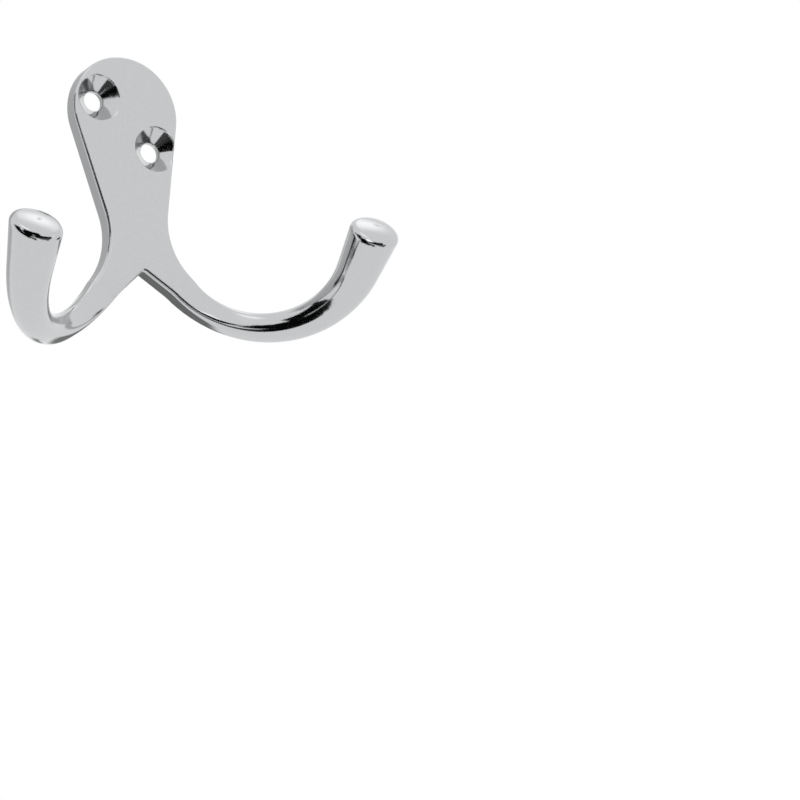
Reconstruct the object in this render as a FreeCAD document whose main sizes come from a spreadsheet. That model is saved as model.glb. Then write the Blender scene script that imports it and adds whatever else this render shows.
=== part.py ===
import FreeCAD, Part
import math
import os
import Sketcher

# Double robe hook: one solid casting that is screwed flat to a wall.
# Frame: X to the right, Y into the wall, Z up, lengths in millimetres. The back face
# lies on y = 0, and the origin is on it, halfway between the two screw holes.

NODE = "robe_hook"

SIZES = [
    # Back plate
    ("plate_thickness", 3.3),
    ("head_radius", 10.3),
    ("head_rise", 2.1),
    ("waist_width", 12.1),
    ("waist_radius", 12.6),
    ("edge_radius", 0.5),
    # Legs that spread below the waist and carry the arms
    ("crotch_drop", 26.9),
    ("crotch_angle", 52.5),
    ("crotch_radius", 0.6),
    ("leg_angle", 42.5),
    ("leg_width", 5.1),
    ("leg_blend", 12.0),
    ("leg_straight", 1.3),
    # Countersunk screw holes, one high on the left and one low on the right
    ("hole_diameter", 3.6),
    ("countersink_diameter", 8.5),
    ("countersink_angle", 90.0),
    ("hole_spread", 10.3),
    ("hole_rise", 9.1),
    # Arm: a bend in a tilted plane, then a straight end
    ("bend_radius", 18.6),
    ("bend_angle", 117.5),
    ("bend_tilt", 39.2),
    ("end_length", 8.9),
    # Arm sections in order, from the first quarter of the bend to its end. Each flat is what
    # the rounded corners leave straight on the narrower side.
    ("early_width", 4.5),
    ("early_thickness", 4.1),
    ("early_flat", 1.5),
    ("middle_width", 5.1),
    ("middle_thickness", 5.3),
    ("middle_flat", 0.7),
    ("late_width", 6.3),
    ("late_thickness", 6.2),
    ("late_flat", 0.4),
    ("neck_width", 7.8),
    ("neck_thickness", 7.4),
    ("neck_flat", 0.3),
    # Domed end of the arm
    ("end_diameter", 9.3),
    ("end_flat", 0.3),
    ("end_trim", 1.6),
    ("crown_radius", 15.0),
    ("crown_lean", 4.0),
    ("crown_turn", 7.0),
    ("end_edge_radius", 1.2),
]

# Share of the bend, width, thickness and flat of each section after the leg's own
ARM_SECTIONS = [
    ("early", 0.25, "early_width", "early_thickness", "early_flat"),
    ("middle", 0.5, "middle_width", "middle_thickness", "middle_flat"),
    ("late", 0.75, "late_width", "late_thickness", "late_flat"),
    ("neck", 1.0, "neck_width", "neck_thickness", "neck_flat"),
    ("end", 1.0, "end_diameter", "end_diameter", "end_flat"),
]

# Names that the sketcher gives to points of a curve and to its own axes
START, END, CENTRE = range(1, 4)
AXIS_X, AXIS_Y = range(-1, -3, -1)

# Distance below which two places count as one
TOUCH = 0.001

doc = FreeCAD.newDocument("robe_hook")
sheet = doc.addObject("Spreadsheet::Sheet", "sizes")
for row, (alias, value) in enumerate(SIZES, start=1):
    sheet.set("A%d" % row, alias)
    sheet.set("B%d" % row, str(value))
    sheet.setAlias("B%d" % row, alias)
doc.recompute()

body = doc.addObject("PartDesign::Body", "hook_body")
body.Label = NODE
planes = {plane.Role: plane for plane in body.Origin.OriginFeatures}


def size(alias):
    """Value of one cell of the sheet."""
    return float(sheet.get(alias))


def point(x, y):
    """Point in the plane of a sketch."""
    return FreeCAD.Vector(x, y, 0)


def polar(centre, radius, angle):
    return centre + point(radius * math.cos(angle), radius * math.sin(angle))


def line(start, end):
    return Part.LineSegment(start, end)


def arc(centre, radius, start_angle, end_angle):
    """Arc that runs anticlockwise between two angles in radians."""
    circle = Part.Circle(centre, FreeCAD.Vector(0, 0, 1), radius)
    return Part.ArcOfCircle(circle, start_angle, end_angle)


def bind(item, formulas):
    """Ties properties of an object to formulas of the sheet."""
    for name, formula in formulas.items():
        item.setExpression(name, formula)


def add_sketch(name, support, mode="FlatFace"):
    """Sketch attached to a plane or an edge of the body itself."""
    sketch = body.newObject("Sketcher::SketchObject", name)
    sketch.AttachmentSupport = [support]
    sketch.MapMode = mode
    return sketch


def constrain(sketch, kind, *members):
    sketch.addConstraint(Sketcher.Constraint(kind, *members))


def dimension(sketch, name, formula, kind, *members):
    """Dimension that follows a formula of the sheet."""
    index = sketch.addConstraint(Sketcher.Constraint(kind, *members))
    sketch.renameConstraint(index, name)
    sketch.setExpression("Constraints." + name, formula)


def measure(sketch, name, kind, *members):
    """Distance that the sketch only reports, for formulas of other objects."""
    index = sketch.addConstraint(Sketcher.Constraint(kind, *members))
    sketch.setDriving(index, False)
    sketch.renameConstraint(index, name)


def mirror(name, features):
    """Repeats features on the other side of the plane of symmetry."""
    copy = body.newObject("PartDesign::Mirrored", name)
    copy.Originals = features
    copy.MirrorPlane = (planes["YZ_Plane"], [""])
    body.Tip = copy
    doc.recompute()
    return copy


def edge_names(shape, wanted):
    """Names of the edges whose ends and middle all pass a test."""
    names = []
    for number, edge in enumerate(shape.Edges, start=1):
        middle = edge.valueAt((edge.FirstParameter + edge.LastParameter) / 2)
        places = [vertex.Point for vertex in edge.Vertexes] + [middle]
        if all(wanted(place) for place in places):
            names.append("Edge%d" % number)
    return names


def round_edges(name, feature, names, alias):
    """Fillet on named edges, with its radius from the sheet."""
    rounding = body.newObject("PartDesign::Fillet", name)
    rounding.Base = (feature, names)
    bind(rounding, {"Radius": "sizes." + alias})
    doc.recompute()
    return rounding


def draw_outline():
    """Right half of the plate and its leg, closed along the axis of symmetry.

    Comes back with the middle of the edge at the foot of the leg."""
    leg = math.radians(size("leg_angle"))
    slope = math.radians(size("crotch_angle"))
    across_leg = point(math.cos(leg), math.sin(leg))
    across_crotch = point(math.cos(slope), math.sin(slope))
    head_centre = point(0, size("head_rise"))
    head = size("head_radius")
    waist = size("waist_radius")
    blend = size("leg_blend")
    crotch = size("crotch_radius")
    # The leg's upper edge runs straight on from the waist arc to the foot
    waist_x = size("waist_width") / 2 + waist
    waist_side = waist_x - waist * across_leg.x
    corner_side = waist_side + size("leg_straight") * across_leg.y
    foot_side = corner_side - size("leg_width") * across_leg.x
    # The blend turns the lower edge from the slope of the crotch to that of the leg
    turn_end = foot_side + blend * (across_crotch.x - across_leg.x)
    lower_start = point(turn_end, -size("crotch_drop") - turn_end / math.tan(slope))
    blend_centre = lower_start - across_crotch * blend
    foot = blend_centre + across_leg * blend
    corner = foot + across_leg * size("leg_width")
    crotch_centre = point(0, -size("crotch_drop") - crotch / math.sin(slope))
    crotch_start = crotch_centre + across_crotch * crotch
    waist_end = point(waist_side, corner.y + size("leg_straight") * across_leg.x)
    waist_centre = waist_end + across_leg * waist
    # The flank is the crossed tangent of the head arc and the waist arc
    span = waist_centre - head_centre
    turn = math.atan2(span.y, span.x) + math.acos((head + waist) / span.Length)
    head_end = polar(head_centre, head, turn)
    waist_start = polar(waist_centre, waist, turn + math.pi)
    top = head_centre + point(0, head)
    bottom = crotch_centre + point(0, crotch)

    sketch = add_sketch("plate_outline", (planes["XZ_Plane"], ""))
    parts = [
        arc(head_centre, head, turn, math.pi / 2),
        line(head_end, waist_start),
        arc(waist_centre, waist, turn + math.pi, leg + math.pi),
        line(waist_end, corner),
        line(corner, foot),
        arc(blend_centre, blend, leg, slope),
        line(lower_start, crotch_start),
        arc(crotch_centre, crotch, slope, math.pi / 2),
        line(bottom, top),
    ]
    sketch.addGeometry(parts, False)
    head_arc, flank, waist_arc, upper, sole, blend_arc, lower, crotch_arc, spine = range(len(parts))
    constrain(sketch, "Tangent", head_arc, START, flank, START)
    constrain(sketch, "Tangent", flank, END, waist_arc, START)
    constrain(sketch, "Tangent", waist_arc, END, upper, START)
    constrain(sketch, "Coincident", upper, END, sole, START)
    constrain(sketch, "Perpendicular", sole, END, blend_arc, START)
    constrain(sketch, "Tangent", blend_arc, END, lower, START)
    constrain(sketch, "Tangent", lower, END, crotch_arc, START)
    constrain(sketch, "Coincident", crotch_arc, END, spine, START)
    constrain(sketch, "Coincident", spine, END, head_arc, END)
    constrain(sketch, "PointOnObject", head_arc, CENTRE, AXIS_Y)
    constrain(sketch, "PointOnObject", crotch_arc, CENTRE, AXIS_Y)
    constrain(sketch, "PointOnObject", spine, START, AXIS_Y)
    constrain(sketch, "PointOnObject", spine, END, AXIS_Y)
    constrain(sketch, "Perpendicular", sole, upper)
    dimension(sketch, "head", "sizes.head_radius", "Radius", head_arc, head)
    dimension(sketch, "rise", "sizes.head_rise",
              "DistanceY", AXIS_X, START, head_arc, CENTRE, size("head_rise"))
    dimension(sketch, "waist", "sizes.waist_radius", "Radius", waist_arc, waist)
    dimension(sketch, "waist_side", "sizes.waist_width / 2 + sizes.waist_radius",
              "DistanceX", AXIS_X, START, waist_arc, CENTRE, waist_x)
    dimension(sketch, "crotch", "sizes.crotch_radius", "Radius", crotch_arc, crotch)
    dimension(sketch, "drop", "sizes.crotch_drop + sizes.crotch_radius / sin(sizes.crotch_angle)",
              "DistanceY", crotch_arc, CENTRE, AXIS_X, START, -crotch_centre.y)
    dimension(sketch, "slope", "(180 - sizes.crotch_angle) * 1 deg",
              "Angle", lower, END, spine, START, math.pi - slope)
    dimension(sketch, "splay", "sizes.leg_angle * 1 deg - 90 deg",
              "Angle", upper, leg - math.pi / 2)
    dimension(sketch, "blend", "sizes.leg_blend", "Radius", blend_arc, blend)
    dimension(sketch, "width", "sizes.leg_width", "Distance", sole, size("leg_width"))
    dimension(sketch, "straight", "sizes.leg_straight", "Distance", upper, size("leg_straight"))
    measure(sketch, "foot_side", "DistanceX", AXIS_X, START, sole, END, foot.x)
    measure(sketch, "foot_drop", "DistanceY", sole, END, AXIS_X, START, -foot.y)
    doc.recompute()
    return sketch, (foot + corner) / 2


def plate_edges(shape, foot_middle):
    """Front and back edges of the plate, without those at the feet of the legs."""
    def on_back(place):
        return abs(place.y) < TOUCH

    def on_front(place):
        return abs(place.y + size("plate_thickness")) < TOUCH

    def at_foot(place):
        flat = point(abs(place.x), place.z)
        return flat.distanceToPoint(foot_middle) < size("leg_width") / 2 + TOUCH

    feet = edge_names(shape, at_foot)
    around = edge_names(shape, on_back) + edge_names(shape, on_front)
    return [name for name in around if name not in feet]


def make_plate():
    """Flat back plate with its two legs, all its outer edges slightly rounded."""
    outline, foot_middle = draw_outline()
    half = body.newObject("PartDesign::Pad", "half_plate")
    half.Profile = outline
    bind(half, {"Length": "sizes.plate_thickness"})
    doc.recompute()
    plate = mirror("plate", [half])
    round_edges("plate_rounding", plate, plate_edges(plate.Shape, foot_middle), "edge_radius")


def draw_arm_line():
    """Centre line of the arm, in a plane hinged on the leg's own centre line."""
    sketch = add_sketch("arm_line", (planes["XZ_Plane"], ""))
    bind(sketch, {
        "AttachmentOffset.Base.x":
            "plate_outline.Constraints.foot_side + sizes.leg_width / 2 * cos(sizes.leg_angle) * 1 mm",
        "AttachmentOffset.Base.y":
            "sizes.leg_width / 2 * sin(sizes.leg_angle) * 1 mm - plate_outline.Constraints.foot_drop",
        "AttachmentOffset.Base.z": "sizes.plate_thickness / 2",
        "AttachmentOffset.Rotation.Yaw": "sizes.leg_angle - 90",
        "AttachmentOffset.Rotation.Roll": "90 - sizes.bend_tilt",
    })
    radius = size("bend_radius")
    turn = math.radians(size("bend_angle"))
    length = size("end_length") + size("end_trim")
    bend = arc(point(0, radius), radius, -math.pi / 2, turn - math.pi / 2)
    straight = line(bend.EndPoint, polar(bend.EndPoint, length, turn))
    sketch.addGeometry([bend, straight], False)
    constrain(sketch, "Coincident", 0, START, AXIS_X, START)
    constrain(sketch, "PointOnObject", 0, CENTRE, AXIS_Y)
    constrain(sketch, "Tangent", 0, END, 1, START)
    dimension(sketch, "radius", "sizes.bend_radius", "Radius", 0, radius)
    dimension(sketch, "turn", "sizes.bend_angle * 1 deg", "Angle", 0, turn)
    dimension(sketch, "straight", "sizes.end_length + sizes.end_trim", "Distance", 1, length)
    doc.recompute()
    return sketch


def draw_section(arm_line, name, share, width, thickness, flat):
    """Rounded rectangle square to the arm, its thickness in line with the plate's."""
    if flat is None:
        corner = "sizes.edge_radius"
    else:
        corner = "(min(sizes.%s; sizes.%s) - sizes.%s) / 2" % (width, thickness, flat)
    sketch = add_sketch(name + "_section", (arm_line, "Edge1"), "FrenetNB")
    sketch.MapPathParameter = share
    bind(sketch, {"AttachmentOffset.Rotation.Yaw": "-sizes.bend_tilt"})
    if name == "end":
        bind(sketch, {"AttachmentOffset.Base.z": "-sizes.end_length - sizes.end_trim"})
    radius = sketch.evalExpression(corner)
    flat_x = size(thickness) / 2 - radius
    flat_y = size(width) / 2 - radius
    corners = []
    for quarter, (side_x, side_y) in enumerate([(1, 1), (-1, 1), (-1, -1), (1, -1)]):
        start = quarter * math.pi / 2
        centre = point(side_x * flat_x, side_y * flat_y)
        corners.append(arc(centre, radius, start, start + math.pi / 2))
    sides = []
    for quarter in range(4):
        sides.append(line(corners[quarter].EndPoint, corners[(quarter + 1) % 4].StartPoint))
    sketch.addGeometry(corners + sides, False)
    for quarter in range(4):
        constrain(sketch, "Tangent", quarter, END, quarter + 4, START)
        constrain(sketch, "Tangent", quarter + 4, END, (quarter + 1) % 4, START)
        constrain(sketch, ["Horizontal", "Vertical"][quarter % 2], quarter + 4)
        if quarter > 0:
            constrain(sketch, "Equal", 0, quarter)
    constrain(sketch, "Symmetric", 0, CENTRE, 2, CENTRE, AXIS_X, START)
    dimension(sketch, "corner", corner, "Radius", 0, radius)
    dimension(sketch, "thickness", "sizes.%s - 2 * %s" % (thickness, corner),
              "DistanceX", 1, CENTRE, 0, CENTRE, 2 * flat_x)
    dimension(sketch, "width", "sizes.%s - 2 * %s" % (width, corner),
              "DistanceY", 3, CENTRE, 0, CENTRE, 2 * flat_y)
    doc.recompute()
    return sketch


def draw_crown(arm_line):
    """Stock outside the domed end, drawn to be turned about an axis through the dome's top."""
    sketch = add_sketch("crown_outline", (arm_line, "Edge1"), "FrenetTN")
    sketch.MapPathParameter = 1
    bind(sketch, {
        "AttachmentOffset.Base.x": "sizes.end_length",
        "AttachmentOffset.Rotation.Yaw": "sizes.crown_lean",
        "AttachmentOffset.Rotation.Pitch": "-sizes.crown_turn",
    })
    crown = size("crown_radius")
    rim = size("end_diameter") / 2 + size("end_trim")
    face = 2 * size("end_trim")
    cap = arc(point(-crown, 0), crown, 0, math.asin(rim / crown))
    parts = [
        cap,
        line(cap.EndPoint, point(face, rim)),
        line(point(face, rim), point(face, 0)),
        line(point(face, 0), point(0, 0)),
    ]
    sketch.addGeometry(parts, False)
    dome, side, top, axis = range(len(parts))
    constrain(sketch, "Coincident", dome, END, side, START)
    constrain(sketch, "Coincident", side, END, top, START)
    constrain(sketch, "Coincident", top, END, axis, START)
    constrain(sketch, "Coincident", axis, END, dome, START)
    constrain(sketch, "Horizontal", side)
    constrain(sketch, "Vertical", top)
    constrain(sketch, "PointOnObject", dome, CENTRE, AXIS_X)
    constrain(sketch, "Coincident", dome, START, AXIS_X, START)
    constrain(sketch, "PointOnObject", axis, START, AXIS_X)
    dimension(sketch, "crown", "sizes.crown_radius", "Radius", dome, crown)
    dimension(sketch, "rim", "sizes.end_diameter / 2 + sizes.end_trim",
              "DistanceY", AXIS_X, START, dome, END, rim)
    dimension(sketch, "face", "2 * sizes.end_trim",
              "DistanceX", dome, START, axis, START, face)
    doc.recompute()
    return sketch


def make_arms():
    """Both arms: a sweep that grows from the leg's section to a round domed end."""
    arm_line = draw_arm_line()
    foot = draw_section(arm_line, "leg", 0.0, "leg_width", "plate_thickness", None)
    sections = [draw_section(arm_line, *row) for row in ARM_SECTIONS]
    arm = body.newObject("PartDesign::AdditivePipe", "arm")
    arm.Profile = foot
    arm.Spine = (arm_line, ["Edge1", "Edge2"])
    arm.Transformation = "Multisection"
    arm.Sections = [(section, [""]) for section in sections]
    doc.recompute()
    crown = body.newObject("PartDesign::Groove", "crown")
    crown_sketch = draw_crown(arm_line)
    crown.Profile = crown_sketch
    crown.ReferenceAxis = (crown_sketch, ["H_Axis"])
    crown.Angle = 360
    doc.recompute()
    mirror("arms", [arm, crown])
    return crown_sketch


def draw_hole_circles():
    """Circles of the two bores, on the front of the plate."""
    sketch = add_sketch("hole_circles", (planes["XZ_Plane"], ""))
    bind(sketch, {"AttachmentOffset.Base.z": "sizes.plate_thickness"})
    half_spread = size("hole_spread") / 2
    half_rise = size("hole_rise") / 2
    radius = size("hole_diameter") / 2
    for centre in [point(-half_spread, half_rise), point(half_spread, -half_rise)]:
        sketch.addGeometry(Part.Circle(centre, FreeCAD.Vector(0, 0, 1), radius), False)
    constrain(sketch, "Symmetric", 0, CENTRE, 1, CENTRE, AXIS_X, START)
    constrain(sketch, "Equal", 0, 1)
    dimension(sketch, "bore", "sizes.hole_diameter", "Diameter", 0, 2 * radius)
    dimension(sketch, "spread", "sizes.hole_spread",
              "DistanceX", 0, CENTRE, 1, CENTRE, 2 * half_spread)
    dimension(sketch, "rise", "sizes.hole_rise",
              "DistanceY", 1, CENTRE, 0, CENTRE, 2 * half_rise)
    doc.recompute()
    return sketch


def make_holes():
    """Two through holes with a countersink in front."""
    hole = body.newObject("PartDesign::Hole", "screw_holes")
    hole.Profile = draw_hole_circles()
    doc.recompute()
    hole.DepthType = "ThroughAll"
    hole.DrillPoint = "Flat"
    hole.HoleCutType = "Countersink"
    hole.HoleCutCustomValues = True
    bind(hole, {
        "Diameter": "sizes.hole_diameter",
        "HoleCutDiameter": "sizes.countersink_diameter",
        "HoleCutCountersinkAngle": "sizes.countersink_angle",
    })
    doc.recompute()
    return hole


def crown_edges(shape, crown_sketch):
    """Rim of each domed end: the edges on the crown that do not reach its middle."""
    crown = size("crown_radius")
    near = size("end_diameter") / 4
    placement = crown_sketch.Placement
    right = [
        placement.multVec(point(-crown, 0)),
        placement.multVec(point(0, 0)),
    ]
    left = [FreeCAD.Vector(-place.x, place.y, place.z) for place in right]
    names = []
    for centre, apex in [right, left]:
        names += edge_names(shape, lambda place: (
            abs(place.distanceToPoint(centre) - crown) < TOUCH
            and place.distanceToPoint(apex) > near))
    return names


make_plate()
crown_sketch = make_arms()
before = body.Shape.Volume
hole = make_holes()
if hole.Shape.Volume >= before:
    raise RuntimeError("the screw holes took nothing away")
names = crown_edges(hole.Shape, crown_sketch)
rims = round_edges("crown_rounding", hole, names, "end_edge_radius")
body.Tip = rims
doc.recompute()

for item in doc.Objects:
    if "Invalid" in item.State or "Error" in item.State:
        raise RuntimeError("%s: %s" % (item.Name, item.State))
    if hasattr(item, "Shape") and (item.Shape.isNull() or not item.Shape.isValid()):
        raise RuntimeError("%s has no valid shape" % item.Name)
if len(body.Shape.Solids) != 1:
    raise RuntimeError("the hook is not one solid")

os.makedirs("parts", exist_ok=True)
body.Shape.exportStep("parts/%s.step" % NODE)
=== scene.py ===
import math

import bpy
from mathutils import Matrix, Vector

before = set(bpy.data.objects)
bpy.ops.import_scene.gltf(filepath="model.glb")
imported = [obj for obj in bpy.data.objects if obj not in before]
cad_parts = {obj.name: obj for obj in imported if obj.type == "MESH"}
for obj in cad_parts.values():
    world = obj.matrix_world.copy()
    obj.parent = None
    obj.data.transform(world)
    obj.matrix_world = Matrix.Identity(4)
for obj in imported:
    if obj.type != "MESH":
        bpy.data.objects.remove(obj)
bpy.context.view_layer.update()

# the direction from the object to the camera, and the camera's roll, in degrees
AZIMUTH = -35.583
ELEVATION = -7.934
ROLL = -7.155
# how far the object's origin lies in front of the camera, to its right and above its middle, in metres
DISTANCE = 0.43104
ASIDE = -0.050336
ABOVE = 0.048646
LENS = 108.19
SENSOR = 36.0
CLIP_START = 0.01
CLIP_END = 50.0

# the plating: waves of its noises in a metre, and what they change
HAZE_PER_METRE = 160.0
HAZE_DETAIL = 3.0
HAZE_LOW = 0.35
HAZE_HIGH = 0.75
CLEAR_ROUGHNESS = 0.075
HAZY_ROUGHNESS = 0.125
SPECKLE_PER_METRE = 2600.0
SPECKLE_DETAIL = 2.0
DARKER_CHROME = (0.530, 0.537, 0.546, 1.0)
LIGHTER_CHROME = (0.590, 0.595, 0.602, 1.0)
RIPPLE_PER_METRE = 240.0
RIPPLE_DETAIL = 1.0
RIPPLE_STRENGTH = 0.05
RIPPLE_DEPTH = 0.0001
RIM_RADIUS = 0.0006
RIM_SAMPLES = 12

# the studio: levels at which 1 is white, and the lamp's strength in watts on a square metre
WHITE = (1.0, 1.0, 1.0, 1.0)
FLOOR_PAINT = (0.80, 0.80, 0.80, 1.0)
FLOOR_GLOW = 0.26
FLOOR_DROP = 0.16
FLOOR_HALF = 6.0
SQUARE = ((-1, -1), (1, -1), (1, 1), (-1, 1))
BACKGROUND = 1.0
FILL = 0.35
LAMP_STRENGTH = 2.2
LAMP_WIDTH = 16

# the places on the object that the panels are set out from, and how far off they stand, in metres
CENTRE = Vector((0.0, 0.0, 0.0))
LEFT_RIM = Vector((-0.0355, -0.0306, -0.0274))
RIGHT_RIM = Vector((0.0297, -0.0298, -0.0281))
RIGHT_LEG = Vector((0.0120, -0.0033, -0.0270))
FAR = 0.9
NEAR = 0.15
CLOSE = 0.04
CLOSEST = 0.022
PANEL_STEPS = 12


def new_material(name):
    material = bpy.data.materials.new(name)
    material.use_nodes = True
    material.node_tree.nodes.clear()
    return material, material.node_tree.nodes, material.node_tree.links


def background_share(nodes, links):
    """1 for the rays that show the pale background: the camera's, those off metal and through glass."""
    path = nodes.new("ShaderNodeLightPath")
    share = path.outputs["Is Camera Ray"]
    for ray in ("Is Glossy Ray", "Is Transmission Ray"):
        either = nodes.new("ShaderNodeMath")
        either.operation = "MAXIMUM"
        links.new(share, either.inputs[0])
        links.new(path.outputs[ray], either.inputs[1])
        share = either.outputs[0]
    return share


def add_noise(nodes, links, place, per_metre, detail):
    """Noise that is fixed to the object."""
    noise = nodes.new("ShaderNodeTexNoise")
    noise.inputs["Scale"].default_value = per_metre
    noise.inputs["Detail"].default_value = detail
    links.new(place.outputs["Object"], noise.inputs["Vector"])
    return noise.outputs["Fac"]


def chrome_material():
    """Bright plating: a fine haze, a faint speckle, hardly any waviness, and edges softened by polishing."""
    material, nodes, links = new_material("bright_chrome")
    surface = nodes.new("ShaderNodeBsdfPrincipled")
    output = nodes.new("ShaderNodeOutputMaterial")
    links.new(surface.outputs["BSDF"], output.inputs["Surface"])
    surface.inputs["Metallic"].default_value = 1.0
    place = nodes.new("ShaderNodeTexCoord")

    haze = add_noise(nodes, links, place, HAZE_PER_METRE, HAZE_DETAIL)
    gloss = nodes.new("ShaderNodeMapRange")
    gloss.inputs["From Min"].default_value = HAZE_LOW
    gloss.inputs["From Max"].default_value = HAZE_HIGH
    gloss.inputs["To Min"].default_value = CLEAR_ROUGHNESS
    gloss.inputs["To Max"].default_value = HAZY_ROUGHNESS
    links.new(haze, gloss.inputs["Value"])
    links.new(gloss.outputs["Result"], surface.inputs["Roughness"])

    speckle = add_noise(nodes, links, place, SPECKLE_PER_METRE, SPECKLE_DETAIL)
    tone = nodes.new("ShaderNodeMix")
    tone.data_type = "RGBA"
    tone.inputs["A"].default_value = DARKER_CHROME
    tone.inputs["B"].default_value = LIGHTER_CHROME
    links.new(speckle, tone.inputs["Factor"])
    links.new(tone.outputs["Result"], surface.inputs["Base Color"])

    ripple = add_noise(nodes, links, place, RIPPLE_PER_METRE, RIPPLE_DETAIL)
    rim = nodes.new("ShaderNodeBevel")
    rim.samples = RIM_SAMPLES
    rim.inputs["Radius"].default_value = RIM_RADIUS
    bump = nodes.new("ShaderNodeBump")
    bump.inputs["Strength"].default_value = RIPPLE_STRENGTH
    bump.inputs["Distance"].default_value = RIPPLE_DEPTH
    links.new(ripple, bump.inputs["Height"])
    links.new(rim.outputs["Normal"], bump.inputs["Normal"])
    links.new(bump.outputs["Normal"], surface.inputs["Normal"])
    return material


def floor_material():
    """A pale floor: the lamp, the fill and a glow for the camera add up to about white outside the shadow."""
    material, nodes, links = new_material("pale_floor")
    paint = nodes.new("ShaderNodeBsdfDiffuse")
    paint.inputs["Color"].default_value = FLOOR_PAINT
    strength = nodes.new("ShaderNodeMath")
    strength.operation = "MULTIPLY"
    strength.inputs[1].default_value = FLOOR_GLOW
    links.new(background_share(nodes, links), strength.inputs[0])
    glow = nodes.new("ShaderNodeEmission")
    glow.inputs["Color"].default_value = WHITE
    links.new(strength.outputs[0], glow.inputs["Strength"])
    both = nodes.new("ShaderNodeAddShader")
    links.new(paint.outputs[0], both.inputs[0])
    links.new(glow.outputs[0], both.inputs[1])
    output = nodes.new("ShaderNodeOutputMaterial")
    links.new(both.outputs[0], output.inputs["Surface"])
    return material


def glowing_material(name):
    """A material that only glows in white, and the socket of its strength."""
    material, nodes, links = new_material(name)
    glow = nodes.new("ShaderNodeEmission")
    glow.inputs["Color"].default_value = WHITE
    output = nodes.new("ShaderNodeOutputMaterial")
    links.new(glow.outputs[0], output.inputs["Surface"])
    return material, glow.inputs["Strength"]


def flag_material(name, level):
    """One tone all over, with a hard edge."""
    material, strength = glowing_material(name)
    strength.default_value = level
    return material


def card_material(name, level, softness):
    """A tone in the middle of an oval that fades to the background's white at its edge."""
    material, strength = glowing_material(name)
    nodes = material.node_tree.nodes
    links = material.node_tree.links
    place = nodes.new("ShaderNodeTexCoord")
    oval = nodes.new("ShaderNodeTexGradient")
    oval.gradient_type = "SPHERICAL"
    links.new(place.outputs["Object"], oval.inputs["Vector"])
    fade = nodes.new("ShaderNodeMapRange")
    fade.interpolation_type = "SMOOTHSTEP"
    fade.inputs["From Max"].default_value = softness
    fade.inputs["To Min"].default_value = BACKGROUND
    fade.inputs["To Max"].default_value = level
    links.new(oval.outputs["Fac"], fade.inputs["Value"])
    links.new(fade.outputs["Result"], strength)
    return material


def add_mesh(name, corners, faces, material):
    mesh = bpy.data.meshes.new(name)
    mesh.from_pydata(corners, [], faces)
    mesh.materials.append(material)
    piece = bpy.data.objects.new(name, mesh)
    bpy.context.scene.collection.objects.link(piece)
    return piece


def add_floor():
    """A wide floor under the hook. The metal shows the world's even white in its place."""
    corners = [(x * FLOOR_HALF, y * FLOOR_HALF, -FLOOR_DROP) for x, y in SQUARE]
    floor = add_mesh("floor", corners, [(0, 1, 2, 3)], floor_material())
    floor.visible_glossy = False


def show_only_in_metal(panel):
    panel.visible_camera = False
    panel.visible_diffuse = False
    panel.visible_shadow = False


def direction(azimuth, elevation):
    """Unit vector by degrees: azimuth 0 points out from the plate's front and 90 to the right of it."""
    a = math.radians(azimuth)
    e = math.radians(elevation)
    return Vector((math.sin(a) * math.cos(e), -math.cos(a) * math.cos(e), math.sin(e)))


def place_flag(name, eye, distance, low_left, low_right, high_right, high_left, material):
    """A panel curved round a place on the object, given by the directions of its corners from there."""
    points = []
    for i in range(PANEL_STEPS + 1):
        v = i / PANEL_STEPS
        for j in range(PANEL_STEPS + 1):
            u = j / PANEL_STEPS
            spot = []
            for k in range(2):
                low = low_left[k] * (1 - u) + low_right[k] * u
                high = high_left[k] * (1 - u) + high_right[k] * u
                spot.append(low * (1 - v) + high * v)
            points.append(eye + direction(*spot) * distance)
    side = PANEL_STEPS + 1
    faces = []
    for i in range(PANEL_STEPS):
        for j in range(PANEL_STEPS):
            first = i * side + j
            faces.append((first, first + 1, first + side + 1, first + side))
    show_only_in_metal(add_mesh(name, points, faces, material))


def place_card(name, centre, facing, half_width, half_height, material):
    """A flat oval card whose own axes run from -1 to 1 over its face."""
    corners = [(x, y, 0) for x, y in SQUARE]
    card = add_mesh(name, corners, [(0, 1, 2, 3)], material)
    turn = facing.to_track_quat("Z", "Y").to_matrix().to_4x4()
    size = Matrix.Diagonal((half_width, half_height, 1.0, 1.0))
    card.matrix_world = Matrix.Translation(centre) @ turn @ size
    show_only_in_metal(card)


def place_round_card(name, eye, distance, azimuth, elevation, half_angle, level, softness):
    """A round card that faces a place on the object, as wide as its half angle from there."""
    away = direction(azimuth, elevation)
    half = distance * math.tan(math.radians(half_angle))
    material = card_material(name, level, softness)
    place_card(name, eye + away * distance, away, half, half, material)


def place_upright_card(name, x, y, z, half_width, half_height, level, softness):
    """An oval card upright behind the plate."""
    material = card_material(name, level, softness)
    centre = Vector((x, y, z))
    place_card(name, centre, Vector((0.0, 1.0, 0.0)), half_width, half_height, material)


def place_lamp(name, azimuth, elevation):
    """An even soft lamp far off, which lights the floor, casts the shadow and doesn't show in the metal."""
    lamp = bpy.data.lights.new(name, "SUN")
    lamp.angle = math.radians(LAMP_WIDTH)
    lamp.energy = LAMP_STRENGTH
    piece = bpy.data.objects.new(name, lamp)
    bpy.context.scene.collection.objects.link(piece)
    piece.rotation_mode = "QUATERNION"
    piece.rotation_quaternion = direction(azimuth, elevation).to_track_quat("Z", "Y")
    piece.visible_glossy = False


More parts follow.
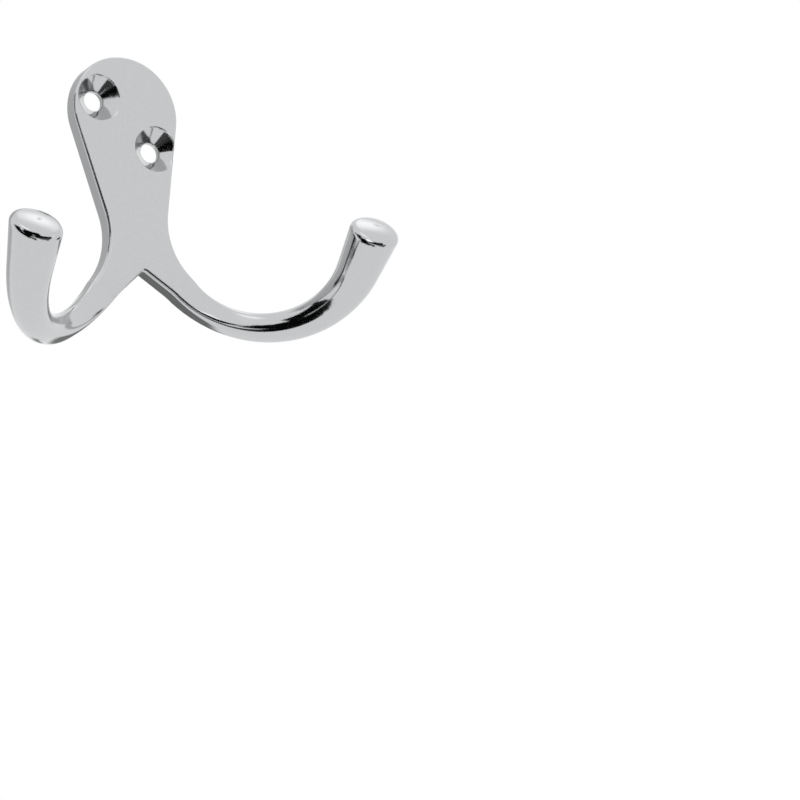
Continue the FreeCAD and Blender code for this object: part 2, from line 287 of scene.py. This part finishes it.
def make_world():
    """White for the camera and in the metal, and a softer even fill for the rest."""
    world = bpy.data.worlds.new("studio")
    world.use_nodes = True
    nodes = world.node_tree.nodes
    links = world.node_tree.links
    nodes.clear()
    mix = nodes.new("ShaderNodeMixShader")
    links.new(background_share(nodes, links), mix.inputs[0])
    for socket, strength in ((1, FILL), (2, BACKGROUND)):
        tone = nodes.new("ShaderNodeBackground")
        tone.inputs["Color"].default_value = WHITE
        tone.inputs["Strength"].default_value = strength
        links.new(tone.outputs[0], mix.inputs[socket])
    output = nodes.new("ShaderNodeOutputWorld")
    links.new(mix.outputs[0], output.inputs["Surface"])
    bpy.context.scene.world = world


def make_camera():
    """The camera, set by its direction, its roll and the object's place in its own axes."""
    back = direction(AZIMUTH, ELEVATION)
    right = Vector((math.cos(math.radians(AZIMUTH)), math.sin(math.radians(AZIMUTH)), 0.0))
    up = back.cross(right)
    c = math.cos(math.radians(ROLL))
    s = math.sin(math.radians(ROLL))
    rolled_right = c * right + s * up
    rolled_up = -s * right + c * up
    data = bpy.data.cameras.new("camera")
    data.lens = LENS
    data.sensor_width = SENSOR
    data.sensor_fit = "HORIZONTAL"
    data.clip_start = CLIP_START
    data.clip_end = CLIP_END
    camera = bpy.data.objects.new("camera", data)
    bpy.context.scene.collection.objects.link(camera)
    spot = -ASIDE * rolled_right - ABOVE * rolled_up + DISTANCE * back
    turn = Matrix((rolled_right, rolled_up, back)).transposed()
    camera.matrix_world = Matrix.Translation(spot) @ turn.to_4x4()
    bpy.context.scene.camera = camera


plating = chrome_material()
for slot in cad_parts["robe_hook"].material_slots:
    slot.material = plating

add_floor()

black = flag_material("black_flag", 0.004)
dark = flag_material("dark_flag", 0.05)
dim = flag_material("dim_flag", 0.14)

# the black band of the right arm, the line at the plate's left edge and the countersinks' right sides
place_flag("upper_flag", CENTRE, FAR, (-89, -10), (-64, -10), (-64, 42), (-112, 38), black)
place_flag("wedge_flag", CENTRE, FAR, (-66, -44), (-50, -42), (-50, -9), (-90, -9), black)
place_flag("middle_flag", CENTRE, NEAR, (-61, -30), (-28, -20), (-31, 12), (-58, 10), black)
# the dark line along the lower edge of the right leg
place_flag("crease_flag", RIGHT_LEG, NEAR, (-31, -16), (24, -16), (25, 7), (-31, 12), black)
# the countersinks' left sides
place_flag("lower_flag", CENTRE, FAR, (-31, -20), (5, -38), (24, -12), (-31, -14), dim)
place_flag("front_flag", CENTRE, FAR, (5, -38), (38, -44), (38, -16), (24, -12), dim)
# the countersinks' upper right
place_flag("corner_flag", CENTRE, FAR, (-50, -42), (-36, -58), (-44, -20), (-50, -12), dark)
place_flag("bottom_flag", CENTRE, FAR, (-36, -58), (-20, -58), (-20, -38), (-44, -20), dark)
# the crescents under the caps, each from a flag of its own beside what the flags above give
place_flag("left_rim_flag", LEFT_RIM, CLOSE, (-50, 8), (12, 3), (18, 42), (-45, 48), black)
place_flag("right_rim_flag", RIGHT_RIM, CLOSEST, (-104, -16), (-60, -50), (-46, -30), (-88, 4), black)

# highlights on both caps and in the right arm's bend
place_round_card("top_card", CENTRE, FAR, 106, 61, 20, 1.6, 0.9)
place_round_card("streak_card", CENTRE, FAR, -20, 60, 18, 1.45, 0.8)
# the dark line along the right arm's inner edge
place_round_card("back_card", CENTRE, FAR, -168, 28, 18, 0.15, 0.4)
# the glint beside the right crescent
place_round_card("glint_card", RIGHT_RIM, CLOSE, -32, 18, 16, 1.8, 0.5)
# grey for the walls: the left sides of plate and arm, the left arm's underside, and the right leg's wall
place_upright_card("wall_card", -0.035, 0.05, 0.045, 0.055, 0.095, 0.60, 0.25)
place_upright_card("under_card", 0.008, 0.05, -0.060, 0.020, 0.016, 0.35, 0.5)
place_upright_card("crotch_card", 0.006, 0.015, -0.041, 0.018, 0.013, 0.22, 0.3)

place_lamp("key_lamp", 60, 60)
make_world()
make_camera()

bpy.context.scene.view_settings.view_transform = "Standard"
